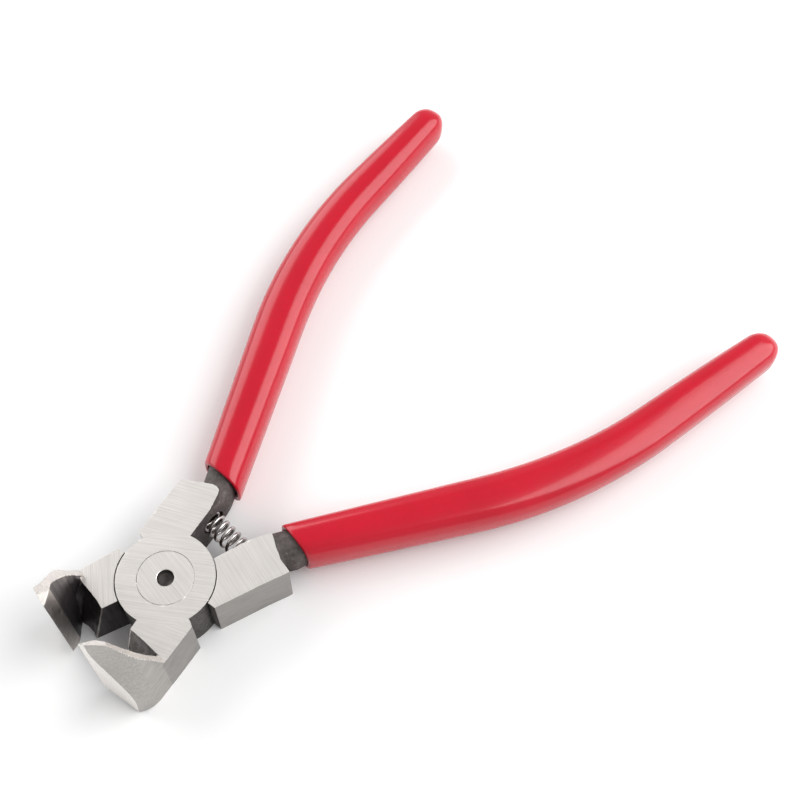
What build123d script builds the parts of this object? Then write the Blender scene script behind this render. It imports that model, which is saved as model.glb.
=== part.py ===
"""Spring-loaded end-cutting nippers: two lapped lever halves on a flush rivet, a return spring
and two dipped grip sleeves.

Millimetres. The pivot axis is Z and the origin lies where it meets the lower ground face.
+X points out of the mouth and +Z towards the dimpled end of the rivet. The tool is drawn
resting open, so the X-Z plane is the plane of symmetry of the two halves' outlines.
"""

import os
from math import cos, radians, sin

from build123d import *

# Lap joint
body_thickness = 11.5
joint_radius = 9.15
joint_gap = 0.20
lap_gap = 0.06
rivet_radius = 3.50
rivet_head_radius = 5.30
rivet_head_depth = 2.00
rivet_running_clearance = 0.04
dimple_radius = 1.60
dimple_depth = 1.40

# Jaws: each cutting edge is parallel to the pivot axis
edge_reach = 19.9
edge_offset = 4.5
edge_foot = 2.5
edge_head = body_thickness + 14.4
mouth_corner = (11.4, 3.5)
mouth_wall_angle = 18.0
jaw_rear_x = 2.6
jaw_rear_y = 10.45
shoulder_x = 10.3
hollow_depth_y = 10.0
hollow_start_x = 10.9
hollow_slope = 3.8
inner_bevel = (2.5, 1.75)
outer_bevel_lean = 0.20
flare_top = body_thickness + 17.1
flare_shoulder_x = 17.7
flare_widths = (12.2, 12.3, 9.9, 7.3, 6.4)
flare_bulge = (13.0, 12.9, 11.4, 9.7, 7.9)
flare_back = (12.9, 12.7, 12.2, 11.8, 11.6)
flare_levels = (0.0, body_thickness + 1.0, body_thickness + 5.5, body_thickness + 9.7, flare_top + 0.5)

# Ground cheeks behind the joint
cheek_notch = (-2.35, 9.1)
cheek_front = (-2.45, 10.55)
cheek_outers = {1: (-15.05, 13.2), -1: (-16.9, 14.95)}
cheek_tails = {1: (-18.6, 7.6), -1: (-19.6, 7.6)}
cheek_inner = (-8.7, 3.25)
cheek_corner = 1.2

# Handles
handle_root = (-21.7, 9.9)
handle_root_angle = 30.5
handle_straight = 36.4
handle_bend_radius = 103.0
handle_bend = 22.4
handle_tails = {1: 27.5, -1: 33.5}
tang_lead = 4.5
grip_widths = (8.4, 9.3, 10.0, 9.6, 8.9, 7.3)
grip_height_root = 9.6
grip_height_tip = 8.6
grip_roundness = 0.36
dip_thickness = 1.25
tip_dome = 4.6
tip_turns = (25, 45, 62, 76)
grip_sections = 8

# Return spring, pocketed in the facing cheeks
spring_x = -14.6
cheek_face_y = 4.7
spring_outer_radius = 2.3
spring_wire_radius = 0.32
spring_coils = 14.0
seat_radius = 2.6
seat_depth = 5.0
seat_end_clearance = 0.03

lap_plane = body_thickness / 2


def mirrored(points, side):
    """The same outline on the +Y side (1) or the -Y side (-1)."""
    return [(x, side * y) for x, y in points]


def flare_outline(side, width, bulge, back):
    """Plan section of one flared jaw at one height."""
    edge = (edge_reach, edge_offset)
    bevel_end = (edge_reach - outer_bevel_lean * (width - edge_offset), width)
    strip_end = (edge_reach - inner_bevel[0], edge_offset + inner_bevel[1])
    hollow_mid = (14.7, 8.65)
    outline = [
        edge,
        bevel_end,
        (16.6, max(bulge, width)),
        (14.4, (bulge + back) / 2 + 0.15),
        (shoulder_x, back - 0.7),
        (7.0, back - 1.2),
        (7.0, hollow_depth_y - 1.0),
        (hollow_start_x, hollow_depth_y),
        (12.8, 9.75),
        hollow_mid,
        strip_end,
    ]
    return mirrored(outline, side)


def flared_jaw(side):
    """The wide cutting head in front of the joint."""
    with BuildPart() as jaw:
        for level, width, bulge, back in zip(flare_levels, flare_widths, flare_bulge, flare_back):
            with BuildSketch(Plane.XY.offset(level)):
                with BuildLine():
                    Polyline(*flare_outline(side, width, bulge, back), close=True)
                make_face()
        loft(ruled=True)
        # Sloping top rim and raised foot, seen from the side
        with BuildSketch(Plane.XZ):
            with BuildLine():
                Polyline(
                    (6.0, -1.0),
                    (14.0, -1.0),
                    (14.0, 0.0),
                    (edge_reach - 1.8, 0.35),
                    (edge_reach + 1.0, edge_foot + 0.8),
                    (edge_reach + 1.0, flare_top),
                    (flare_shoulder_x, flare_top),
                    (shoulder_x - 0.2, body_thickness),
                    (6.0, body_thickness),
                    close=True,
                )
            make_face()
        extrude(amount=20.0, both=True, mode=Mode.INTERSECT)
        # The rim falls towards the cutting edge
        with BuildSketch(Plane.YZ):
            with BuildLine():
                Polyline(
                    (side * 3.0, edge_head - 1.5),
                    (side * 3.0, flare_top + 3.0),
                    (side * 8.2, flare_top + 3.0),
                    (side * 8.2, flare_top + 1.2),
                    close=True,
                )
            make_face()
        extrude(amount=30.0, mode=Mode.SUBTRACT)
    return jaw.part


def jaw_root(side):
    """The ground block between the joint and the flare, with its forward-sloping mouth wall."""
    lean = radians(mouth_wall_angle)
    inner_start = (mouth_corner[0] - 6.0 * cos(lean), mouth_corner[1] - 6.0 * sin(lean))
    with BuildPart() as root:
        with BuildSketch():
            with BuildLine():
                Polyline(
                    *mirrored(
                        [
                            inner_start,
                            mouth_corner,
                            (hollow_start_x, mouth_corner[1] + 2.1),
                            (hollow_start_x, hollow_depth_y),
                            (shoulder_x, 11.9),
                            (8.6, 11.75),
                            (jaw_rear_x, jaw_rear_y),
                            (jaw_rear_x - 0.5, 9.3),
                            (jaw_rear_x - 0.6, 5.0),
                        ],
                        side,
                    ),
                    close=True,
                )
            make_face()
        extrude(amount=body_thickness)
        with BuildSketch(Plane.XZ.offset(-side * (mouth_corner[1] + 0.2))):
            with BuildLine():
                Polyline(
                    (hollow_start_x - 1.5, 0.0),
                    (hollow_start_x + hollow_slope, 0.0),
                    (hollow_start_x, body_thickness),
                    (hollow_start_x - 1.5, body_thickness),
                    close=True,
                )
            make_face()
        extrude(amount=-side * 6.2)
    return root.part


def cheek(side):
    """The ground flat between the joint and the handle, on the opposite side from the jaw."""
    inner_slope = (cheek_inner[0] - 2.6, cheek_inner[1] + 0.65)
    cheek_outer, cheek_tail = cheek_outers[side], cheek_tails[side]
    with BuildPart() as block:
        with BuildSketch():
            with BuildLine():
                Polyline(
                    *mirrored(
                        [
                            (-3.0, 5.0),
                            cheek_notch,
                            cheek_front,
                            (-8.0, 11.6),
                            cheek_outer,
                            (cheek_outer[0] - 1.3, cheek_outer[1] - 2.6),
                            cheek_tail,
                            (cheek_tail[0] + 0.3, cheek_tail[1] - 1.0),
                            (-15.2, 4.85),
                            inner_slope,
                            cheek_inner,
                            (-6.0, 2.6),
                        ],
                        -side,
                    ),
                    close=True,
                )
            make_face()
        extrude(amount=body_thickness)
        corner_middle = (*mirrored([cheek_outer], -side)[0], lap_plane)
        fillet(block.edges().filter_by(Axis.Z).sort_by_distance(corner_middle)[0], radius=cheek_corner)
    return block.part


def handle_path(side, lead=0.0):
    """Centre line of a handle, starting `lead` before the rim of its sleeve."""
    way = -side
    heading = (-cos(radians(handle_root_angle)), way * sin(radians(handle_root_angle)))
    root = (handle_root[0], way * handle_root[1])
    start = (root[0] - lead * heading[0], root[1] - lead * heading[1])
    root_end = (root[0] + handle_straight * heading[0], root[1] + handle_straight * heading[1])
    with BuildLine(mode=Mode.PRIVATE) as path:
        first = Line(start, root_end)
        bend = JernArc(root_end, first % 1, handle_bend_radius, way * handle_bend)
        Line(bend @ 1, (bend @ 1) + (bend % 1) * handle_tails[side])
    return path.wire()


def grip_width(along):
    """Plan width of a sleeve at a fraction of its length, from widths at even steps."""
    place = along * (len(grip_widths) - 1)
    step = min(int(place), len(grip_widths) - 2)
    return grip_widths[step] + (grip_widths[step + 1] - grip_widths[step]) * (place - step)


def handle_solid(side, lead, shrink, cut_short):
    """A rounded bar along the handle, `shrink` thinner all round than the sleeve, with a domed tip."""
    path = handle_path(side, lead)
    reach = path.length - cut_short
    barrel = reach - tip_dome
    stations = [(barrel * index / (grip_sections - 1), 1.0) for index in range(grip_sections)]
    stations += [(barrel + tip_dome * sin(radians(turn)), cos(radians(turn))) for turn in tip_turns]
    with BuildPart() as bar:
        for distance, dome in stations:
            along = distance / path.length
            width = grip_width(along)
            height = grip_height_root + (grip_height_tip - grip_height_root) * along
            tangent = path % along
            centre = path @ along + Vector(0, 0, lap_plane)
            with BuildSketch(Plane(origin=centre, x_dir=Vector(-tangent.Y, tangent.X, 0), z_dir=tangent)):
                RectangleRounded(
                    (width - 2 * shrink) * dome,
                    (height - 2 * shrink) * dome,
                    grip_roundness * (height - 2 * shrink) * dome,
                )
        loft()
    return bar.part


def spring_seat(side):
    """Blind hole for one end of the return spring."""
    run_in = 2.0
    with BuildPart() as seat:
        with Locations(Location((spring_x, -side * (cheek_face_y - run_in), lap_plane), (side * 90, 0, 0))):
            Cylinder(seat_radius, seat_depth + run_in, align=(Align.CENTER, Align.CENTER, Align.MIN))
    return seat.part


def lever(side):
    """One forged half. side 1 owns the upper lap and the +Y jaw, side -1 the lower lap and the -Y jaw."""
    if side > 0:
        own_floor, own_top = lap_plane + lap_gap / 2, body_thickness
        other_floor, other_top = 0.0, own_floor
    else:
        own_floor, own_top = 0.0, lap_plane - lap_gap / 2
        other_floor, other_top = own_top, body_thickness
    with BuildPart() as half:
        add(jaw_root(side))
        add(flared_jaw(side))
        add(cheek(side))
        add(handle_solid(side, tang_lead, dip_thickness, 2.2))
        # Room for the other half's disc
        with Locations((0, 0, other_floor - 0.5 * (side > 0))):
            Cylinder(
                joint_radius + joint_gap,
                other_top - other_floor + 0.5,
                align=(Align.CENTER, Align.CENTER, Align.MIN),
                mode=Mode.SUBTRACT,
            )
        with Locations((0, 0, own_floor)):
            Cylinder(joint_radius, own_top - own_floor, align=(Align.CENTER, Align.CENTER, Align.MIN))
        add(spring_seat(side), mode=Mode.SUBTRACT)
        add(rivet_bore(side), mode=Mode.SUBTRACT)
    return half.part


def rivet_profile(growth):
    """Rivet solid, grown radially by `growth`."""
    with BuildPart() as solid:
        with BuildSketch(Plane.XZ):
            with BuildLine():
                Polyline(
                    (0, 0),
                    (rivet_head_radius + growth, 0),
                    (rivet_radius + growth, rivet_head_depth),
                    (rivet_radius + growth, body_thickness - rivet_head_depth),
                    (rivet_head_radius + growth, body_thickness),
                    (0, body_thickness),
                    close=True,
                )
            make_face()
        revolve(axis=Axis.Z)
    return solid.part


def rivet_bore(side):
    """Bore with a flush countersink: tight in the upper half, running in the lower one."""
    return rivet_profile(0.0 if side > 0 else rivet_running_clearance)


with BuildPart() as upper_lever:
    add(lever(1))
upper_lever.part.label = "upper_lever"

with BuildPart() as lower_lever:
    add(lever(-1))
lower_lever.part.label = "lower_lever"

with BuildPart() as pivot_rivet:
    add(rivet_profile(0.0))
    with Locations((0, 0, body_thickness)):
        Hole(dimple_radius, depth=dimple_depth)
pivot_rivet.part.label = "pivot_rivet"


def grip_sleeve(side, tang):
    """Dipped vinyl sleeve over one tang, with a straight rim across the tool."""
    with BuildPart() as sleeve:
        add(handle_solid(side, tang_lead, 0.0, 0.0))
        with Locations((handle_root[0], 0, lap_plane)):
            Box(40, 120, 40, align=(Align.MIN, Align.CENTER, Align.CENTER), mode=Mode.SUBTRACT)
        add(tang, mode=Mode.SUBTRACT)
    return sleeve.part


with BuildPart() as upper_grip:
    add(grip_sleeve(1, upper_lever.part))
upper_grip.part.label = "upper_grip"

with BuildPart() as lower_grip:
    add(grip_sleeve(-1, lower_lever.part))
lower_grip.part.label = "lower_grip"

spring_span = 2 * (cheek_face_y + seat_depth - seat_end_clearance - spring_wire_radius)
with BuildPart() as coil:
    with BuildLine() as coil_line:
        Helix(
            pitch=spring_span / spring_coils,
            height=spring_span,
            radius=spring_outer_radius - spring_wire_radius,
        )
    coil_path = coil_line.wire()
    with BuildSketch(Plane(origin=coil_path @ 0, z_dir=coil_path % 0)):
        Circle(spring_wire_radius)
    sweep(path=coil_path, is_frenet=True)

with BuildPart() as return_spring:
    add(coil.part.moved(Location((spring_x, spring_span / 2, lap_plane), (90, 0, 0))))
return_spring.part.label = "return_spring"

os.makedirs("parts", exist_ok=True)
export_step(upper_lever.part, "parts/upper_lever.step")
export_step(lower_lever.part, "parts/lower_lever.step")
export_step(pivot_rivet.part, "parts/pivot_rivet.step")
export_step(return_spring.part, "parts/return_spring.step")
export_step(upper_grip.part, "parts/upper_grip.step")
export_step(lower_grip.part, "parts/lower_grip.step")
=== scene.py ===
"""Visual model of the end-cutting nippers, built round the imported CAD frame.

The levers are drawn as distance fields and meshed with their sharp edges kept.
The rivet, the spring and the dipped sleeves are turned or lofted.
Every shape is drawn in millimetres, and make_mesh turns it into metres.
Both halves are drawn with the jaw at +Y and the handle at -Y, and the lower one is then mirrored.
Tables keyed by True and False hold the upper half's values under True.
"""

from math import cos, pi, radians, sin, sqrt

import bpy
import numpy as np
from mathutils import Matrix, Vector


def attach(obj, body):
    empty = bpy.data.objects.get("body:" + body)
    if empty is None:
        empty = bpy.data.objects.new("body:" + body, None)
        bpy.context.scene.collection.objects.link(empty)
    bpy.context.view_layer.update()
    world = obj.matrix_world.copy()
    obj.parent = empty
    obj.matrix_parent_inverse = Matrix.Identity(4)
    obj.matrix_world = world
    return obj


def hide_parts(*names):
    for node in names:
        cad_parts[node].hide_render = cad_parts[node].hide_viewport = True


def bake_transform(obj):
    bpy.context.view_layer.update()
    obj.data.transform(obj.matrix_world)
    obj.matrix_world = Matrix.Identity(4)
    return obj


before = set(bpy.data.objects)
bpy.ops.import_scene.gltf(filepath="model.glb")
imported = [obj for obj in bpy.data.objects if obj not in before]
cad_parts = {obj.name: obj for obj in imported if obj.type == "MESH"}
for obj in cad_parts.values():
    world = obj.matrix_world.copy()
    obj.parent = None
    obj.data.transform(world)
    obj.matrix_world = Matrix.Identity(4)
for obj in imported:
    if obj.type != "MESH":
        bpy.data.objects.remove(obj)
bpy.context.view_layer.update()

MM = 0.001

# Lap joint
BODY = 11.5
MID = BODY / 2
DISC = 9.15
POCKET = 9.35
LAP_GAP = 0.06
RIVET_HEAD = 5.30
RIVET_SHANK = 3.50
RIVET_HEAD_DEPTH = 2.0
BORE_SCALE = 0.8

# Cutting head, out to the edge
EDGE = (19.9, 4.5)
STRIP_END = (17.45, 6.2)
BEVEL_LEAN = 0.20
HOLLOW_WALL = [(16.1, 7.6), (14.9, 8.75), (13.5, 9.8), (12.3, 10.4), (10.9, 10.6)]
HEAD_BACK = [(7.5, 9.5), (4.5, 9.5)]
RIM_START = 10.15
RIM_SLOPE = 2.26
RIM_TOP = BODY + 17.1
EDGE_HEAD = BODY + 14.4
RIM_FALL = (1.261, 2.0435)
FOOT_START = 14.0
FOOT_SLOPE = 0.0854
CHIN_START = 18.1
CHIN_LEVEL = 0.35
CHIN_SLOPE = 1.054
FLARE_LEVELS = [0.0, 12.5, 17.0, 21.2, 29.1]
FLARE_WALL = {
    8.6: [12.0, 11.72, 11.2, 11.0, 10.8],
    12.1: [12.65, 12.3, 11.35, 11.0, 10.5],
    14.4: [13.1, 12.95, 12.0, 10.9, 9.9],
    16.6: [13.0, 12.9, 11.4, 9.7, 7.9],
}
WALL_START = 2.6
WALL_START_DROP = 1.3
BEVEL_WIDTH = {True: [12.2, 12.3, 9.9, 7.1, 6.4], False: [12.2, 12.3, 9.9, 7.8, 7.3]}

# Jaw root: its rear face leans and sweeps forward towards the underside
REAR_SLOPE = 3.8
REAR_SWEEP = 3.0
FLAT_FRONT = {True: -0.55, False: 0.5}
FLAT_CORNER = {True: (11.25, 3.1), False: (11.4, 3.5)}
CORNER_RISE = 0.8
ROOT_INNER = (5.7, 1.62)
ROOT_INNER_DROP = 0.5
# (x, how far it sweeps, y) of each point of the rear face
REAR_FACE = [
    (11.0, 0.0, 5.5), (10.9, 0.0, 7.0), (10.85, 0.25, 7.9), (10.8, 0.6, 8.9), (10.8, 1.3, 9.6),
    (10.75, 2.0, 10.0), (10.7, 0.0, 10.7),
]
ROOT_SHOULDER = (9.6, 11.2)
ROOT_BACK = [(2.1, 9.3), (2.0, 5.0)]

# Ground cheeks behind the joint
CHEEKS = {
    True: [
        (-3.0, -5.0), (-1.95, -8.9), (-2.4, -10.4), (-8.0, -11.75), (-14.4, -13.2), (-15.05, -13.15),
        (-15.6, -12.5), (-16.0, -11.6), (-17.4, -9.95), (-17.75, -9.3), (-18.5, -8.2), (-18.75, -7.3),
        (-18.55, -6.5), (-17.8, -5.95), (-14.6, -4.55), (-11.3, -3.8), (-8.8, -3.16), (-6.0, -2.6),
    ],
    False: [
        (-3.0, -5.0), (-2.3, -8.85), (-2.6, -10.7), (-8.0, -12.3), (-12.0, -13.45), (-16.2, -14.85),
        (-16.9, -14.95), (-17.1, -13.6), (-17.3, -12.1), (-18.0, -10.7), (-18.4, -9.6), (-19.2, -8.2),
        (-19.65, -7.2), (-19.1, -6.6), (-15.4, -5.0), (-11.3, -3.95), (-8.6, -3.3), (-6.0, -2.6),
    ],
}

# Handles: a straight lead, a bend and a straight tail
ROOT = (-21.7, -9.9)
ROOT_ANGLE = 30.5
LEAD = 4.5
STRAIGHT = 36.4
BEND_START = LEAD + STRAIGHT
BEND_RADIUS = 103.0
BEND = radians(22.4)
TAILS = {True: 27.5, False: 33.5}
REACH = {half: BEND_START + BEND_RADIUS * BEND + tail for half, tail in TAILS.items()}
HEADING = np.array((-cos(radians(ROOT_ANGLE)), -sin(radians(ROOT_ANGLE))))
OUTWARD = np.array((-HEADING[1], HEADING[0]))
HANDLE_START = np.array(ROOT) - LEAD * HEADING
WIDTHS = (8.4, 9.3, 10.0, 9.6, 8.9, 7.3)
HEIGHTS = (9.6, 8.6)

# Tang inside the sleeve
DIP = 1.25
TANG_EXTRA_HEIGHT = 0.25
TANG_CORNER = 0.34
TANG_START = -5.5
TANG_SHORT_OF_TIP = 2.6
TANG_FACE = 4.75
TANG_FACE_FILLET = 0.8
TANG_SPREAD = {True: 0.0, False: 0.8}
TANG_SPREAD_LENGTH = 3.0
CHEEK_FILLET = 1.1

# Sleeve
RIM_CUT = {True: (-0.37, 0.50), False: (0.62, 0.44)}
RIM_CUT_LENGTH = 30.0
SECTION_POWER = 2.7
SLEEVE_SIDES = 72
SLEEVE_STATIONS = 90
SLEEVE_CAP = 4.8
SLEEVE_CAP_RINGS = 12
INNER_INSET = DIP - 0.3
LIP_ROUND = 0.42
# (distance from the rim, inset): the inner wall, the rolled lip, then the outside
SLEEVE_LIP = [
    (3.0, INNER_INSET), (0.9, INNER_INSET), (0.22, INNER_INSET - 0.10), (0.0, INNER_INSET * 0.62),
    (0.02, LIP_ROUND * 0.75), (0.18, LIP_ROUND * 0.22), (0.5, 0.03),
]

# Return spring and its seats in the cheeks
SPRING_X = -14.6
SEAT = 2.6
SEAT_SPAN = (-9.7, -2.7)
WIRE_RADIUS = 0.32
COIL_RADIUS = 1.98
COILS = 14.0
SPRING_HALF_SPAN = 9.35
SPRING_STEPS = 560
END_COIL_SQUEEZE = 0.035

# Rivet: (radius, depth) of each point of the dimple
HEAD_RADIUS = RIVET_HEAD - 0.02
HEAD_BREAK = 0.09
DIMPLE = [(1.70, 0.0), (1.60, 0.08), (1.57, 0.75), (1.35, 1.05), (0.55, 1.32), (0.0, 1.40)]
DIMPLE_DARK_RADIUS = 1.65
DIMPLE_DARK_DEPTH = 0.10


# Distance fields ----------------------------------------------------------------------------

def smooth_table(level, levels, values):
    """Smooth cubic through a short table, level beyond its ends."""
    levels, values = np.array(levels), np.array(values)
    slopes = np.gradient(values, levels)
    level = np.clip(level, levels[0], levels[-1])
    index = np.clip(np.searchsorted(levels, level) - 1, 0, len(levels) - 2)
    span = levels[index + 1] - levels[index]
    t = (level - levels[index]) / span
    a, b = values[index], values[index + 1]
    ta, tb = slopes[index] * span, slopes[index + 1] * span
    return (
        a * (2 * t**3 - 3 * t**2 + 1) + b * (3 * t**2 - 2 * t**3)
        + ta * (t**3 - 2 * t**2 + t) + tb * (t**3 - t**2)
    )


def polygon(x, y, corners):
    """Signed distance to an outline whose corners may vary from point to point."""
    nearest = np.full(x.shape, 1e9)
    inside = np.zeros(x.shape, bool)
    for (ax, ay), (bx, by) in zip(corners, corners[1:] + corners[:1]):
        ex, ey = bx - ax, by - ay
        wx, wy = x - ax, y - ay
        t = np.clip((wx * ex + wy * ey) / (ex * ex + ey * ey), 0.0, 1.0)
        nearest = np.minimum(nearest, (wx - ex * t) ** 2 + (wy - ey * t) ** 2)
        rise = np.where(np.abs(ey) < 1e-9, 1e-9, ey)
        inside ^= ((ay > y) != (by > y)) & (wx < ex * wy / rise)
    return np.where(inside, -1.0, 1.0) * np.sqrt(nearest)


def blend_min(a, b, radius):
    """Union with a fillet of about that radius."""
    mix = np.clip(0.5 + 0.5 * (b - a) / radius, 0.0, 1.0)
    return b + (a - b) * mix - radius * mix * (1.0 - mix)


def slab(z):
    """Distance outside the joint's thickness."""
    return np.abs(z - MID) - MID


def lowness(z):
    """1 at the underside, falling evenly to 0 at the joint's top face."""
    return np.clip(1.0 - z / BODY, 0.0, 1.0)


def rear_lean(z, upper):
    """How far forward the jaw root's rear face stands at height z."""
    low = lowness(z)
    return REAR_SLOPE * low + FLAT_FRONT[upper] * (1 - low)


def outer_wall(z, upper):
    """Outline points of the jaw's outer wall at height z, from the joint to the front bevel."""
    fronts = smooth_table(z, FLARE_LEVELS, BEVEL_WIDTH[upper])
    stations = [(x, smooth_table(z, FLARE_LEVELS, row)) for x, row in FLARE_WALL.items()]
    stations = [(WALL_START, stations[0][1] - WALL_START_DROP)] + stations
    stations.append((EDGE[0] - BEVEL_LEAN * (fronts - EDGE[1]), fronts))
    wall = [stations[0]]
    for i in range(1, len(stations) - 1):
        p0, p1, p2 = stations[i - 1], stations[i], stations[i + 1]
        p3 = stations[i + 2] if i + 2 < len(stations) else p2
        wall.append(p1)
        # A Catmull-Rom curve from each station to the next
        for t in (0.25, 0.5, 0.75):
            weights = (-t + 2 * t**2 - t**3, 2 - 5 * t**2 + 3 * t**3, t + 4 * t**2 - 3 * t**3, t**3 - t**2)
            wall.append(tuple(sum(w * p[k] for w, p in zip(weights, (p0, p1, p2, p3))) / 2 for k in (0, 1)))
    return wall + [stations[-1]]


def rim_distance(x, y, z):
    """Signed distance above the jaw's top: the flat, then the sloping rim and its fall at the front."""
    slope = BODY + RIM_SLOPE * (x - RIM_START)
    fall = EDGE_HEAD + RIM_FALL[0] * (x - EDGE[0]) + RIM_FALL[1] * (y - EDGE[1])
    rim = np.minimum(z - BODY, (z - slope) / sqrt(1 + RIM_SLOPE**2))
    rim = np.maximum(rim, z - RIM_TOP)
    return np.maximum(rim, (z - fall) / sqrt(1 + RIM_FALL[0] ** 2 + RIM_FALL[1] ** 2))


def jaw_root(x, y, z, upper, wall):
    """The flat-topped part of the jaw beside the joint."""
    low = lowness(z)
    lean = rear_lean(z, upper)
    sweep = np.minimum(low * REAR_SWEEP, 1.0)
    corner_x, corner_y = FLAT_CORNER[upper]
    outline = [(ROOT_INNER[0], ROOT_INNER[1] - ROOT_INNER_DROP * low)]
    outline.append((corner_x + lean, corner_y + CORNER_RISE * low))
    outline += [(rear_x + swept * sweep + lean, rear_y) for rear_x, swept, rear_y in REAR_FACE]
    outline += [ROOT_SHOULDER, wall[1], wall[0]] + ROOT_BACK
    return np.maximum(polygon(x, y, outline), slab(z))


def cutting_head(x, y, z, wall):
    """The flared head, cut off by its rim above and by its foot and chin below."""
    flare = polygon(x, y, wall + [EDGE, STRIP_END] + HOLLOW_WALL + HEAD_BACK)
    foot = np.maximum(-z, FOOT_SLOPE * (x - FOOT_START) - z)
    chin = (CHIN_LEVEL - z + (x - CHIN_START) * CHIN_SLOPE) / sqrt(1 + CHIN_SLOPE**2)
    return np.maximum(flare, np.maximum(rim_distance(x, y, z), np.maximum(foot, chin)))


def handle_coordinates(x, y):
    """Distance along a handle's centre line, and offset from it, outwards positive."""
    u = (x - HANDLE_START[0]) * HEADING[0] + (y - HANDLE_START[1]) * HEADING[1]
    v = (x - HANDLE_START[0]) * OUTWARD[0] + (y - HANDLE_START[1]) * OUTWARD[1]
    past = u - BEND_START
    turn = np.arctan2(past, BEND_RADIUS + v)
    ring = np.hypot(past, BEND_RADIUS + v) - BEND_RADIUS
    # Straight tail, turned back into the root's directions
    tail_u = past * cos(BEND) - (BEND_RADIUS + v) * sin(BEND)
    tail_v = past * sin(BEND) + (BEND_RADIUS + v) * cos(BEND) - BEND_RADIUS
    straight = u < BEND_START
    bent = turn < BEND
    along = np.where(bent, BEND_START + BEND_RADIUS * turn, BEND_START + BEND_RADIUS * BEND + tail_u)
    across = np.where(bent, ring, tail_v)
    return np.where(straight, u, along), np.where(straight, v, across)


def grip_size(along, upper):
    """Width and height of the sleeve at a distance along the handle."""
    part = np.clip(along / REACH[upper], 0.0, 1.0)
    width = smooth_table(part, np.linspace(0, 1, len(WIDTHS)), WIDTHS)
    return width, HEIGHTS[0] + (HEIGHTS[1] - HEIGHTS[0]) * part


def tang_bar(x, y, z, upper):
    """The forged bar that the sleeve is dipped over, with rounded corners."""
    along, across = handle_coordinates(x, y)
    width, height = grip_size(along, upper)
    corner = TANG_CORNER * (height - 2 * DIP)
    # Outside the sleeve the tang is fuller on its outer side
    spread = TANG_SPREAD[upper] * np.clip(1.0 - (along - LEAD) / TANG_SPREAD_LENGTH, 0.0, 1.0)
    qx = np.abs(across - spread / 2) - (width / 2 - DIP + spread / 2) + corner
    qz = np.abs(z - MID) - (height / 2 - DIP + TANG_EXTRA_HEIGHT) + corner
    bar = np.hypot(np.maximum(qx, 0), np.maximum(qz, 0)) + np.minimum(np.maximum(qx, qz), 0) - corner
    return np.maximum(np.maximum(bar, TANG_START - along), along - (REACH[upper] - TANG_SHORT_OF_TIP))


def cheek_and_tang(x, y, z, upper):
    """The ground cheek with the forged tang growing out of it."""
    cheek = np.maximum(polygon(x, y, CHEEKS[upper]), slab(z))
    # The tang's inner side runs straight on from the cheek before it turns out with the handle
    tang = -blend_min(-tang_bar(x, y, z, upper), -y - TANG_FACE, TANG_FACE_FILLET)
    return np.maximum(blend_min(cheek, tang, CHEEK_FILLET), slab(z))


def lap(body, radius, z, upper):
    """The body with room made for the other half's disc, and then its own disc added."""
    if upper:
        own = np.maximum(MID + LAP_GAP / 2 - z, z - BODY)
        other = z - (MID + LAP_GAP / 2)
    else:
        own = np.maximum(-z, z - MID + LAP_GAP / 2)
        other = MID - LAP_GAP / 2 - z
    body = np.maximum(body, -np.maximum(radius - POCKET, other))
    return np.minimum(body, np.maximum(radius - DISC, own))


def spring_seat(x, y, z):
    """The round pocket that takes the end of the spring."""
    return np.maximum(np.hypot(x - SPRING_X, z - MID) - SEAT, np.maximum(y - SEAT_SPAN[1], SEAT_SPAN[0] - y))


def outside_bore(radius, z):
    """Distance that is positive in the rivet's bore, which is countersunk from both faces."""
    depth = np.minimum(z, BODY - z)
    # Scaled, since the cone makes the plain difference larger than the distance
    countersink = RIVET_HEAD - depth * (RIVET_HEAD - RIVET_SHANK) / RIVET_HEAD_DEPTH
    return (np.maximum(RIVET_SHANK, countersink) - radius) * BORE_SCALE


def lever_field(x, y, z, upper):
    """Signed distance to one lever half."""
    radius = np.hypot(x, y)
    wall = outer_wall(z, upper)
    body = np.minimum(jaw_root(x, y, z, upper, wall), cutting_head(x, y, z, wall))
    body = np.minimum(body, cheek_and_tang(x, y, z, upper))
    body = lap(body, radius, z, upper)
    return np.maximum(body, np.maximum(-spring_seat(x, y, z), outside_bore(radius, z)))


# Meshing ------------------------------------------------------------------------------------

def sample(field, axes, block=5, margin=0.6, batch=400000):
    """The field on a grid, evaluated only where the surface may be near."""
    counts = [len(a) for a in axes]
    parts = [np.array_split(np.arange(n), max(n // block, 1)) for n in counts]
    centres = [np.array([(a[p[0]] + a[p[-1]]) / 2 for p in part]) for a, part in zip(axes, parts)]
    halves = [np.array([(a[p[-1]] - a[p[0]]) / 2 for p in part]) for a, part in zip(axes, parts)]
    mesh = np.meshgrid(*centres, indexing="ij")
    reach = np.sqrt(sum(h**2 for h in np.meshgrid(*halves, indexing="ij")))
    rough = field(*[m.ravel() for m in mesh]).reshape(mesh[0].shape)
    owner = [np.concatenate([np.full(len(p), i) for i, p in enumerate(part)]) for part in parts]
    values = rough[np.ix_(*owner)]
    near = (np.abs(rough) < reach * 1.1 + margin)[np.ix_(*owner)]
    where = np.argwhere(near)
    for start in range(0, len(where), batch):
        i, j, k = where[start:start + batch].T
        values[i, j, k] = field(axes[0][i], axes[1][j], axes[2][k])
    return values


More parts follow.
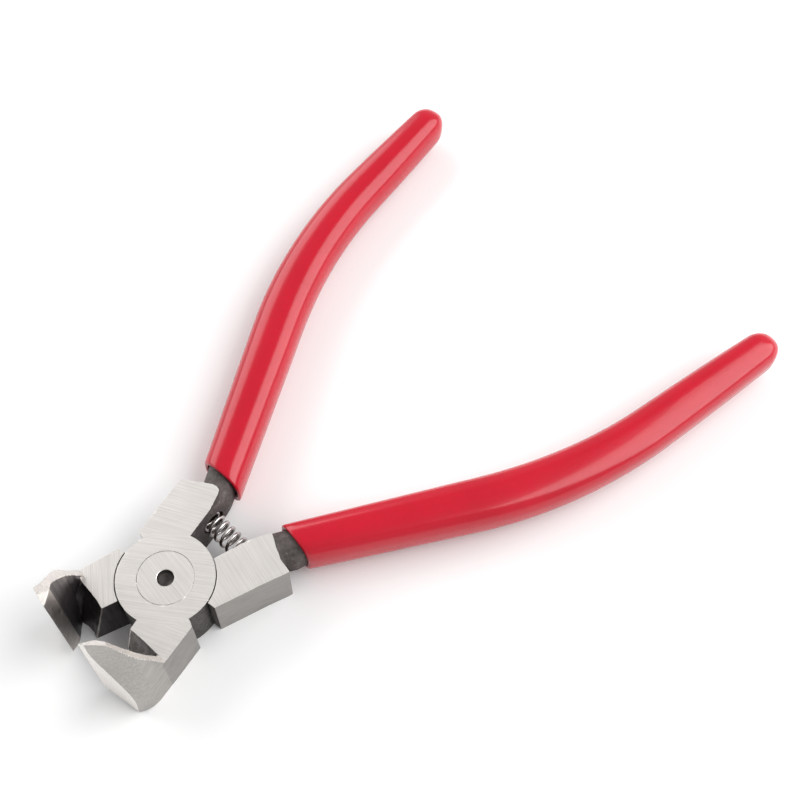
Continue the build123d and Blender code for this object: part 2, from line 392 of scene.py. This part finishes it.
def fill_diagonal_gaps(values):
    """Where inner corners of a grid square meet only across its diagonal, fill the nearer gap."""
    just_inside = -0.001
    for axis in range(3):
        layers = np.moveaxis(values, axis, 0)
        inner = layers < 0
        a, b, c, d = inner[:, :-1, :-1], inner[:, 1:, 1:], inner[:, :-1, 1:], inner[:, 1:, :-1]
        for i, j, k in np.argwhere((a == b) & (c == d) & (a != c)):
            square = ((i, j, k), (i, j + 1, k + 1), (i, j, k + 1), (i, j + 1, k))
            gaps = [p for p in square if layers[p] >= 0]
            if len(gaps) == 2:
                layers[min(gaps, key=lambda p: layers[p])] = just_inside


def field_normals(field, where, step=0.01):
    """Unit normals of the field, from a small tetrahedron round each point."""
    slope = np.zeros_like(where)
    for corner in ((1, 1, 1), (1, -1, -1), (-1, 1, -1), (-1, -1, 1)):
        slope += np.outer(field(*(where + np.array(corner) * step).T), corner)
    return slope / (np.linalg.norm(slope, axis=1, keepdims=True) + 1e-12)


def crossings(field, values, axes, axis):
    """Grid edges along one axis that the surface crosses: (points, normals, the four cells, quads)."""
    inside = values < 0
    low = [slice(1, -1)] * 3
    low[axis] = slice(0, -1)
    high = list(low)
    high[axis] = slice(1, None)
    base = np.argwhere(inside[tuple(low)] != inside[tuple(high)]) + [int(k != axis) for k in range(3)]
    tip = base.copy()
    tip[:, axis] += 1
    va, vb = values[tuple(base.T)], values[tuple(tip.T)]
    where = np.stack([axes[k][base[:, k]] for k in range(3)], 1)
    where[:, axis] += va / (va - vb) * (axes[axis][tip[:, axis]] - axes[axis][base[:, axis]])
    first, second = [k for k in range(3) if k != axis]
    ring = []
    for da, db in ((-1, -1), (0, -1), (0, 0), (-1, 0)):
        cell = base.copy()
        cell[:, first] += da
        cell[:, second] += db
        ring.append(np.ravel_multi_index(cell.T, values.shape))
    ring = np.stack(ring, 1)
    flip = inside[tuple(base.T)] == (axis == 1)
    quads = np.where(flip[:, None], ring[:, ::-1], ring)
    return where, field_normals(field, where), ring, quads


def feature_points(points, normals, owner, total):
    """For each cell, the point that fits best on all the surface planes crossing it, and their mean."""
    number = np.bincount(owner).astype(float)
    mean = np.stack([np.bincount(owner, points[:, k]) for k in range(3)], 1) / number[:, None]
    push = (normals * (points - mean[owner])).sum(1)
    matrix = np.zeros((total, 3, 3))
    vector = np.zeros((total, 3))
    for i in range(3):
        vector[:, i] = np.bincount(owner, normals[:, i] * push)
        for j in range(3):
            matrix[:, i, j] = np.bincount(owner, normals[:, i] * normals[:, j])
    # A weak pull to the mean keeps flat cells settled
    matrix += np.eye(3) * 0.02 * number[:, None, None]
    return mean + np.linalg.solve(matrix, vector[:, :, None])[:, :, 0]


def dual_contour(field, axes, slack=0.1):
    """Closed quad mesh of the field's zero level, keeping sharp edges: (points, quads)."""
    values = sample(field, axes)
    fill_diagonal_gaps(values)
    found = [crossings(field, values, axes, axis) for axis in range(3)]
    points, normals, rings, quads = (np.concatenate(part) for part in zip(*found))
    cells, owner = np.unique(rings.ravel(), return_inverse=True)
    place = feature_points(np.repeat(points, 4, 0), np.repeat(normals, 4, 0), owner, len(cells))
    # Each point stays in its own cell, or only just outside it
    corner = np.stack(np.unravel_index(cells, values.shape), 1)
    lowest = np.stack([axes[k][corner[:, k]] for k in range(3)], 1)
    highest = np.stack([axes[k][np.minimum(corner[:, k] + 1, len(axes[k]) - 1)] for k in range(3)], 1)
    room = slack * (highest - lowest)
    return np.clip(place, lowest - room, highest + room), np.searchsorted(cells, quads)


def make_mesh(name, points, faces, smooth=True):
    """A mesh object from points in millimetres."""
    mesh = bpy.data.meshes.new(name)
    mesh.from_pydata((np.asarray(points, float) * MM).tolist(), [], [list(map(int, f)) for f in faces])
    mesh.validate()
    mesh.update()
    if smooth:
        mesh.shade_smooth()
    obj = bpy.data.objects.new(name, mesh)
    bpy.context.collection.objects.link(obj)
    return obj


# Materials ----------------------------------------------------------------------------------

def shader(name, metallic, roughness, **sockets):
    """A material with its Principled shader: (material, node tree, shader)."""
    material = bpy.data.materials.new(name)
    material.use_nodes = True
    tree = material.node_tree
    principled = tree.nodes["Principled BSDF"]
    principled.inputs["Metallic"].default_value = metallic
    principled.inputs["Roughness"].default_value = roughness
    for socket, value in sockets.items():
        principled.inputs[socket.replace("_", " ")].default_value = value
    return material, tree, principled


def placed(tree, turn=0.0, scale=(1, 1, 1)):
    """Object coordinates turned about Z and stretched."""
    where = tree.nodes.new("ShaderNodeTexCoord")
    rotated = tree.nodes.new("ShaderNodeMapping")
    rotated.vector_type = "TEXTURE"
    rotated.inputs["Rotation"].default_value = (0, 0, radians(turn))
    stretched = tree.nodes.new("ShaderNodeMapping")
    stretched.inputs["Scale"].default_value = scale
    tree.links.new(where.outputs["Object"], rotated.inputs["Vector"])
    tree.links.new(rotated.outputs["Vector"], stretched.inputs["Vector"])
    return stretched.outputs["Vector"]


def noise(tree, vector, scale, detail=3.0, rough=0.5):
    """A noise texture's factor."""
    node = tree.nodes.new("ShaderNodeTexNoise")
    node.inputs["Scale"].default_value = scale
    node.inputs["Detail"].default_value = detail
    node.inputs["Roughness"].default_value = rough
    tree.links.new(vector, node.inputs["Vector"])
    return node.outputs["Fac"]


def ramp(tree, factor, *stops):
    """A colour ramp over the factor; each stop is (position, grey or colour)."""
    node = tree.nodes.new("ShaderNodeValToRGB")
    elements = node.color_ramp.elements
    while len(elements) < len(stops):
        elements.new(0.5)
    for element, (position, colour) in zip(elements, stops):
        element.position = position
        element.color = (colour, colour, colour, 1) if isinstance(colour, float) else (*colour, 1)
    tree.links.new(factor, node.inputs["Fac"])
    return node.outputs["Color"]


def mixed(tree, factor, a, b, blend="MIX"):
    """Two colour outputs mixed by a fixed factor."""
    node = tree.nodes.new("ShaderNodeMix")
    node.data_type = "RGBA"
    node.blend_type = blend
    node.inputs["Factor"].default_value = factor
    colours = [s for s in node.inputs if s.type == "RGBA"]
    tree.links.new(a, colours[0])
    tree.links.new(b, colours[1])
    return next(s for s in node.outputs if s.type == "RGBA")


def bump(tree, principled, height, strength, distance):
    """Fine relief on the shader's normal, its distance in millimetres."""
    node = tree.nodes.new("ShaderNodeBump")
    node.inputs["Strength"].default_value = strength
    node.inputs["Distance"].default_value = distance * MM
    tree.links.new(height, node.inputs["Height"])
    tree.links.new(node.outputs["Normal"], principled.inputs["Normal"])


STROKE_STRETCH = (0.022, 1, 1)
FINE_STROKES = 4600.0
BROAD_STROKES = 1900.0
GROUND_PATCHES = 160.0
ROUGH_SPREAD = 0.08


def ground_steel(name, turn, tone=0.82, roughness=0.45, warm=0.955):
    """Ground steel with strokes along one direction in the tool's plane."""
    material, tree, principled = shader(name, 1.0, roughness)
    along = placed(tree, turn, STROKE_STRETCH)
    fine = noise(tree, along, FINE_STROKES, 2.0)
    broad = noise(tree, along, BROAD_STROKES, 3.0, 0.6)
    streak = mixed(tree, 0.4, fine, broad)
    patch = noise(tree, placed(tree), GROUND_PATCHES)
    dark, bright = tone * 0.78, min(tone * 1.16, 1.0)
    base = ramp(
        tree, streak,
        (0.30, (dark, dark * warm, dark * warm**2)),
        (0.72, (bright, bright * warm, bright * warm**2)),
    )
    cloud = ramp(tree, patch, (0.3, 0.93), (0.7, 1.0))
    tree.links.new(mixed(tree, 1.0, base, cloud, "MULTIPLY"), principled.inputs["Base Color"])
    rough = ramp(tree, streak, (0.25, roughness + ROUGH_SPREAD), (0.8, roughness - ROUGH_SPREAD))
    tree.links.new(rough, principled.inputs["Roughness"])
    bump(tree, principled, streak, 0.35, 0.02)
    return material


def dark_steel(name, low, high, roughness, metallic, relief, scale=900.0, stretch=(1, 1, 1), painted_glints=0.0):
    """Forged or blackened steel, mottled between two colours, with bright spots of painted glint if asked
    for; where it darkens the hollow it is painted shade.
    """
    material, tree, principled = shader(name, metallic, roughness)
    grain = noise(tree, placed(tree, 0.0, stretch), scale, 5.0, 0.62)
    patch = noise(tree, placed(tree), scale * 0.22)
    base = mixed(
        tree, 0.45,
        ramp(tree, grain, (0.32, low), (0.70, high)),
        ramp(tree, patch, (0.35, low), (0.68, high)),
    )
    # Painted glints: bright spots added straight to the base colour
    if painted_glints:
        glint = ramp(tree, noise(tree, placed(tree), scale * 1.7, 2.0), (0.66, 0.0), (0.72, painted_glints))
        base = mixed(tree, 1.0, base, glint, "ADD")
    tree.links.new(base, principled.inputs["Base Color"])
    rough = ramp(tree, grain, (0.3, min(roughness + 0.12, 1.0)), (0.7, roughness - 0.1))
    tree.links.new(rough, principled.inputs["Roughness"])
    bump(tree, principled, grain, 0.5, relief)
    return material


def vinyl(name):
    """Glossy dipped vinyl."""
    material, tree, principled = shader(
        name, 0.0, 0.22, Specular_IOR_Level=0.42, Coat_Weight=0.2, Coat_Roughness=0.04, IOR=1.5,
    )
    sag = noise(tree, placed(tree), 90.0, 2.0)
    fleck = noise(tree, placed(tree), 700.0, 3.0, 0.6)
    base = mixed(
        tree, 0.5,
        ramp(tree, sag, (0.3, (0.43, 0.002, 0.015)), (0.7, (0.51, 0.003, 0.020))),
        ramp(tree, fleck, (0.3, (0.44, 0.002, 0.015)), (0.7, (0.50, 0.003, 0.019))),
    )
    tree.links.new(base, principled.inputs["Base Color"])
    rough = ramp(tree, fleck, (0.3, 0.25), (0.7, 0.19))
    tree.links.new(rough, principled.inputs["Roughness"])
    bump(tree, principled, mixed(tree, 0.25, sag, fleck), 0.10, 0.12)
    return material


# Levers -------------------------------------------------------------------------------------

# The directions the ground faces were ground in, in degrees from +X
STROKES = {
    True: {"disc": 128, "jaw": 114, "cheek": 119, "side": 20},
    False: {"disc": 77, "jaw": 54, "cheek": 78, "side": -20},
}
SIDE_TONE = {True: 0.36, False: 0.37}

FINISH = {
    "bevel": ground_steel("bevel_steel", 8.0, 0.90, 0.5),
    "strip": dark_steel(
        "strip_steel", (0.33, 0.30, 0.285), (0.54, 0.50, 0.48),
        roughness=0.38, metallic=1.0, relief=0.01, scale=600.0,
    ),
    # Painted shade: near-black steel for the hollow and the inner walls between the jaws
    "hollow": dark_steel(
        "hollow_painted_shade_steel", (0.040, 0.033, 0.035), (0.110, 0.096, 0.100),
        roughness=0.40, metallic=0.9, relief=0.008, scale=1400.0, stretch=(1, 1, 0.05),
    ),
    "rear": dark_steel(
        "rear_steel", (0.085, 0.075, 0.07), (0.22, 0.20, 0.19),
        roughness=0.5, metallic=0.9, relief=0.03, scale=1500.0, painted_glints=0.15,
    ),
    "rim": ground_steel("rim_steel", 30.0, 0.86, 0.36),
    "forged": dark_steel(
        "forged_steel", (0.055, 0.046, 0.044), (0.140, 0.120, 0.115),
        roughness=0.66, metallic=0.55, relief=0.05, scale=1100.0, painted_glints=0.10,
    ),
    "lap": dark_steel(
        "lap_steel", (0.05, 0.045, 0.042), (0.11, 0.10, 0.096),
        roughness=0.45, metallic=0.9, relief=0.01, scale=1200.0,
    ),
}
ZONES = [
    "disc", "jaw", "cheek", "side", "flare", "bevel",
    "strip", "hollow", "rear", "rim", "forged", "lap",
]

# Limits of the zones
SKIN = 0.08
DISC_ZONE = 9.25
LAP_ZONE = 9.6
HEAD_FROM = 10.9
SIDE_END = {True: -15.1, False: -16.95}
STRIP_FACING = (-0.57, -0.82)
BEVEL_FACING = (0.98, 0.196)
CORNER_HIGHLIGHT_WIDTH = 0.2
# Centre and radius of the painted highlight spot where the rim leaves the flat
HIGHLIGHT_SPOT = (10.5, 10.45)
HIGHLIGHT_SPOT_RADIUS = 0.6


def zones(centre, normal, upper):
    """Finish of each face, from its place and the way it faces; a later rule overrides an earlier one."""
    x, y, z = centre.T
    nx, ny, nz = normal.T
    radius = np.hypot(x, y)
    level = ((z > BODY - SKIN) | (z < SKIN)) & (np.abs(nz) > 0.75)
    jaw_side = (x > 0) & (y > 0)
    cheek_side = (x < 0) & (y < 0)
    head = jaw_side & ((x > HEAD_FROM) | (z > BODY + 0.1))
    zone = np.full(len(x), ZONES.index("forged"))

    def put(where, name):
        zone[where] = ZONES.index(name)

    put(head & (z > BODY + 0.3), "rim")
    # The rear face is the same on both halves; the lower half's gets the darker hollow finish as painted
    # shade
    rear = jaw_side & (x > 10.0) & (x < 16.0) & (nx > 0.3) & (z < BODY)
    put(rear, "rear" if upper else "hollow")
    put((ny > 0.45) & jaw_side & (y > 9.0), "side")
    put((ny < -0.45) & (x < -2.4) & (x > SIDE_END[upper]) & (y < -9.5), "side")
    outer = (nz < -0.2) | ((ny > 0.15) & (y > 5.5)) | ((nx > 0.75) & (y > 6.5) & (x > 15.5))
    put(head & outer, "flare")
    put((radius < LAP_ZONE) & ~level, "lap")
    # Painted shade: the walls facing into the mouth take the near-black hollow finish
    put(jaw_side & (ny < -0.5) & (radius > 9.3) & (y < 6.5) & (x < 17.0), "hollow")
    put(head & (nx < 0.35) & (ny < -0.3) & (y > 6.0), "hollow")
    put((x > 17.3) & (nx * STRIP_FACING[0] + ny * STRIP_FACING[1] > 0.95), "strip")
    put((x > 17.5) & (nx * BEVEL_FACING[0] + ny * BEVEL_FACING[1] > 0.95), "bevel")
    facing_up = (nz > 0.3) & (nx < 0.3) & (ny < 0.3)
    put(jaw_side & (z > BODY + 0.05) & (facing_up | (rim_distance(x, y, z) > -0.12)), "rim")
    # A painted highlight: a bright line of the strip finish down the corner where the rear face meets the
    # inner one
    corner_x, corner_y = FLAT_CORNER[upper]
    corner = np.hypot(x - corner_x - rear_lean(z, upper), y - corner_y - CORNER_RISE * lowness(z))
    put(jaw_side & (corner < CORNER_HIGHLIGHT_WIDTH) & (z < BODY), "strip")
    put(level & (radius < DISC_ZONE), "disc")
    put(level & (radius >= DISC_ZONE) & jaw_side, "jaw")
    put(level & (radius >= DISC_ZONE) & cheek_side, "cheek")
    # Painted highlight: a spot of the light rim finish where the rim leaves the flat
    highlight_spot = (np.hypot(x - HIGHLIGHT_SPOT[0], y - HIGHLIGHT_SPOT[1]) < HIGHLIGHT_SPOT_RADIUS) & (z > BODY - 0.3) & (z < BODY + 0.8)
    put(jaw_side & highlight_spot & ~level, "rim")
    return zone


def lever_grid():
    """Grid lines in x, y and z: fine over the head and joint, coarser along the handle."""
    xs = np.concatenate([np.linspace(-123.0, -25.0, 79)[:-1], np.linspace(-25.0, 21.05, 201)])
    ys = np.concatenate([np.linspace(-56.0, -16.0, 41)[:-1], np.linspace(-16.0, 15.05, 138)])
    return xs, ys, np.linspace(-0.6, 29.4, 131)


def lever(name, upper):
    """One lever half with its finishes."""
    points, faces = dual_contour(lambda x, y, z: lever_field(x, y, z, upper), lever_grid())
    corners = points[faces]
    normal = np.cross(corners[:, 2] - corners[:, 0], corners[:, 3] - corners[:, 1])
    normal /= np.linalg.norm(normal, axis=1, keepdims=True) + 1e-12
    zone = zones(corners.mean(1), normal, upper)
    if not upper:
        points = points * (1, -1, 1)
        faces = faces[:, ::-1]
    obj = make_mesh(name, points, faces)
    strokes = STROKES[upper]
    finishes = dict(FINISH)
    for flat in ("disc", "jaw", "cheek"):
        finishes[flat] = ground_steel(f"{name}_{flat}", strokes[flat])
    finishes["side"] = ground_steel(f"{name}_side", strokes["side"], SIDE_TONE[upper], 0.46)
    finishes["flare"] = ground_steel(f"{name}_flare", strokes["side"], 0.46, 0.5)
    for finish in ZONES:
        obj.data.materials.append(finishes[finish])
    obj.data.polygons.foreach_set("material_index", zone.astype(np.int32))
    obj.data.set_sharp_from_angle(angle=radians(32))
    return obj


upper_lever = lever("upper_lever_visual", True)
lower_lever = lever("lower_lever_visual", False)


# Rivet --------------------------------------------------------------------------------------

def revolved(name, profile, segments=96):
    """A solid of revolution about Z from (radius, height) points, both ends on the axis."""
    points, faces, rings = [], [], []
    for radius, height in profile:
        if radius < 1e-6:
            rings.append([len(points)] * segments)
            points.append((0, 0, height))
        else:
            rings.append(list(range(len(points), len(points) + segments)))
            for k in range(segments):
                turn = 2 * pi * k / segments
                points.append((radius * cos(turn), radius * sin(turn), height))
    for low, high in zip(rings, rings[1:]):
        for k in range(segments):
            n = (k + 1) % segments
            corners = [low[k], low[n], high[n], high[k]]
            faces.append(list(dict.fromkeys(corners)))
    return make_mesh(name, points, faces)


def rivet_with_dimple(name):
    """The rivet, headed at both ends, with a dark dimple in its upper head."""
    shank_end = RIVET_HEAD_DEPTH
    profile = [
        (0, 0), (HEAD_RADIUS - HEAD_BREAK, 0), (HEAD_RADIUS, HEAD_BREAK), (RIVET_SHANK, shank_end),
        (RIVET_SHANK, BODY - shank_end), (HEAD_RADIUS, BODY - HEAD_BREAK), (HEAD_RADIUS - HEAD_BREAK, BODY),
    ]
    obj = revolved(name, profile + [(radius, BODY - depth) for radius, depth in DIMPLE])
    obj.data.materials.append(ground_steel("rivet_steel", 84))
    obj.data.materials.append(dark_steel(
        "dimple_steel", (0.035, 0.030, 0.029), (0.10, 0.09, 0.085),
        roughness=0.55, metallic=0.8, relief=0.04,
    ))
    for face in obj.data.polygons:
        middle = face.center / MM
        sunk = MID < middle.z < BODY - DIMPLE_DARK_DEPTH and middle.xy.length < DIMPLE_DARK_RADIUS
        face.material_index = int(sunk)
    obj.data.set_sharp_from_angle(angle=radians(30))
    return obj


rivet = rivet_with_dimple("pivot_rivet_visual")


# Return spring ------------------------------------------------------------------------------

def wire(name, path, radius, sides=12):
    """A round wire along a list of points, with closed ends."""
    path = np.array(path)
    tangent = np.gradient(path, axis=0)
    tangent /= np.linalg.norm(tangent, axis=1, keepdims=True)
    axis_y = np.array((0.0, 1.0, 0.0))
    points, faces = [], []
    for centre, direction in zip(path, tangent):
        side = np.cross(direction, axis_y)
        side /= np.linalg.norm(side)
        other = np.cross(direction, side)
        for k in range(sides):
            turn = 2 * pi * k / sides
            points.append(centre + radius * (cos(turn) * side + sin(turn) * other))
    for i in range(len(path) - 1):
        for k in range(sides):
            n = (k + 1) % sides
            faces.append((i * sides + k, i * sides + n, (i + 1) * sides + n, (i + 1) * sides + k))
    faces.append(tuple(range(sides))[::-1])
    faces.append(tuple((len(path) - 1) * sides + k for k in range(sides)))
    return make_mesh(name, points, faces)


def coil():
    """Points along the spring, whose axis runs along Y; its end coils lie closer together."""
    path = []
    for k in range(SPRING_STEPS + 1):
        part = k / SPRING_STEPS
        turn = 2 * pi * COILS * part
        ease = part - END_COIL_SQUEEZE * sin(2 * pi * part)
        path.append((
            SPRING_X + COIL_RADIUS * cos(turn), SPRING_HALF_SPAN * (2 * ease - 1),
            MID - COIL_RADIUS * sin(turn),
        ))
    return path


spring = wire("return_spring_visual", coil(), WIRE_RADIUS)
spring.data.materials.append(dark_steel(
    "spring_wire", (0.45, 0.42, 0.41), (0.78, 0.74, 0.72), roughness=0.22, metallic=1.0, relief=0.006,
))


# Dipped sleeves -----------------------------------------------------------------------------

def handle_point(along, across):
    """Plan point at a distance along the centre line and off it."""
    if along < BEND_START:
        u, v = along, across
    else:
        turn = min((along - BEND_START) / BEND_RADIUS, BEND)
        rest = max(along - BEND_START - BEND_RADIUS * BEND, 0.0)
        u = BEND_START + (BEND_RADIUS + across) * sin(turn) + rest * cos(turn)
        v = (BEND_RADIUS + across) * cos(turn) - BEND_RADIUS - rest * sin(turn)
    return HANDLE_START + u * HEADING + v * OUTWARD


def section(turn, width, height):
    """Point on the sleeve's cross-section, an ellipse squared off towards a box."""
    c, s = cos(turn), sin(turn)
    size = (abs(c) ** SECTION_POWER + abs(s) ** SECTION_POWER) ** (-1 / SECTION_POWER)
    return width / 2 * c * size, height / 2 * s * size


def sleeve_rows(upper):
    """(distance from the rim, inset, share of full size) of each ring, and the distance to the tip."""
    rows = [(distance, inset, 1.0) for distance, inset in SLEEVE_LIP]
    lip_end = SLEEVE_LIP[-1][0]
    barrel = REACH[upper] - SLEEVE_CAP - LEAD - lip_end
    rows += [(lip_end + barrel * (k / SLEEVE_STATIONS), 0.0, 1.0) for k in range(1, SLEEVE_STATIONS + 1)]
    cap_from = rows[-1][0]
    for k in range(1, SLEEVE_CAP_RINGS):
        turn = pi / 2 * k / SLEEVE_CAP_RINGS
        rows.append((cap_from + SLEEVE_CAP * sin(turn), 0.0, cos(turn)))
    return rows, cap_from + SLEEVE_CAP


def sleeve(name, upper):
    """Dipped sleeve with a rolled rim cut at a slant, a wall over the tang and a domed tip."""
    rows, tip = sleeve_rows(upper)
    shift, lean = RIM_CUT[upper]
    points, rings, faces = [], [], []
    for distance, inset, share in rows:
        width, height = (float(v) for v in grip_size(np.array(LEAD + distance), upper))
        # The slant of the rim evens out along the sleeve
        slant = max(1.0 - distance / RIM_CUT_LENGTH, 0.0) ** 2
        rings.append(list(range(len(points), len(points) + SLEEVE_SIDES)))
        for k in range(SLEEVE_SIDES):
            turn = 2 * pi * k / SLEEVE_SIDES
            across, up = section(turn, (width - 2 * inset) * share, (height - 2 * inset) * share)
            x, y = handle_point(LEAD + distance + (shift + lean * across) * slant, across)
            points.append((x, y, MID + up))
    for low, high in zip(rings, rings[1:]):
        for k in range(SLEEVE_SIDES):
            n = (k + 1) % SLEEVE_SIDES
            faces.append((low[k], low[n], high[n], high[k]))
    faces.append(tuple(rings[0])[::-1])
    pole = len(points)
    points.append((*handle_point(LEAD + tip, 0.0), MID))
    faces += [(rings[-1][k], rings[-1][(k + 1) % SLEEVE_SIDES], pole) for k in range(SLEEVE_SIDES)]
    if not upper:
        points = [(x, -y, z) for x, y, z in points]
        faces = [f[::-1] for f in faces]
    obj = make_mesh(name, points, faces)
    obj.data.materials.append(RED)
    return obj


RED = vinyl("red_vinyl_dip")
upper_sleeve = sleeve("upper_sleeve_visual", True)
lower_sleeve = sleeve("lower_sleeve_visual", False)

for obj, node, body, slot in (
    (upper_lever, "upper_lever", "upper_half", "lever_steel"),
    (lower_lever, "lower_lever", "lower_half", "lever_steel"),
    (rivet, "pivot_rivet", "upper_half", "rivet_steel"),
    (upper_sleeve, "upper_grip", "upper_half", "red_vinyl"),
    (lower_sleeve, "lower_grip", "lower_half", "red_vinyl"),
):
    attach(obj, body)
    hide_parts(node)
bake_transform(spring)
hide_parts("return_spring")


# Floor, lights and camera -------------------------------------------------------------------

FLOOR_HALF = 2500
floor_corners = [(sx * FLOOR_HALF, sy * FLOOR_HALF, 0) for sx, sy in ((-1, -1), (1, -1), (1, 1), (-1, 1))]
floor = make_mesh("floor", floor_corners, [(0, 1, 2, 3)], smooth=False)
paper, tree, principled = shader("floor_paper", 0.0, 0.9, Specular_IOR_Level=0.1)
tone = ramp(tree, noise(tree, placed(tree), 12.0, 2.0), (0.3, 0.86), (0.7, 0.88))
tree.links.new(tone, principled.inputs["Base Color"])
floor.data.materials.append(paper)

# Grey of the surroundings by height, from the horizon to overhead
SKY = ((0.0, 0.60), (0.45, 0.62), (0.80, 0.44))
SKY_STRENGTH = 0.95
world = bpy.data.worlds.new("studio")
bpy.context.scene.world = world
world.use_nodes = True
tree = world.node_tree
background = tree.nodes["Background"]
where = tree.nodes.new("ShaderNodeTexCoord")
split = tree.nodes.new("ShaderNodeSeparateXYZ")
tree.links.new(where.outputs["Generated"], split.inputs["Vector"])
tree.links.new(ramp(tree, split.outputs["Z"], *SKY), background.inputs["Color"])
background.inputs["Strength"].default_value = SKY_STRENGTH

LIT_POINT = Vector((-45.0, 0.0, 6.0)) * MM


def softbox(name, place, width, height, power):
    """A rectangle of light, placed and aimed from a point near the middle of the tool."""
    light = bpy.data.lights.new(name, "AREA")
    light.shape = "RECTANGLE"
    light.size, light.size_y = width, height
    light.energy = power
    lamp = bpy.data.objects.new(name, light)
    bpy.context.collection.objects.link(lamp)
    lamp.location = LIT_POINT + Vector(place)
    lamp.rotation_euler = Vector(place).to_track_quat("Z", "Y").to_euler()


softbox("key", (0.09, -0.75, 0.46), 1.2, 0.6, 6.0)
softbox("side", (-0.40, 0.36, 0.48), 0.9, 0.75, 7.0)

CAMERA_RIGHT = Vector((-0.7070, 0.7071, 0.0145))
CAMERA_UP = Vector((-0.6124, -0.6223, 0.4876))
CAMERA_FORWARD = Vector((-0.3538, -0.3359, -0.8729))
CAMERA_PLACE = Vector((31.78, 87.72, 229.72)) * MM
lens = bpy.data.cameras.new("camera")
lens.lens = 57.15
lens.sensor_width = 36.0
lens.clip_start = 0.01
camera = bpy.data.objects.new("camera", lens)
bpy.context.collection.objects.link(camera)
facing = Matrix((CAMERA_RIGHT, CAMERA_UP, -CAMERA_FORWARD)).transposed()
camera.matrix_world = Matrix.Translation(CAMERA_PLACE) @ facing.to_4x4()
bpy.context.scene.camera = camera
bpy.context.scene.view_settings.view_transform = "Standard"
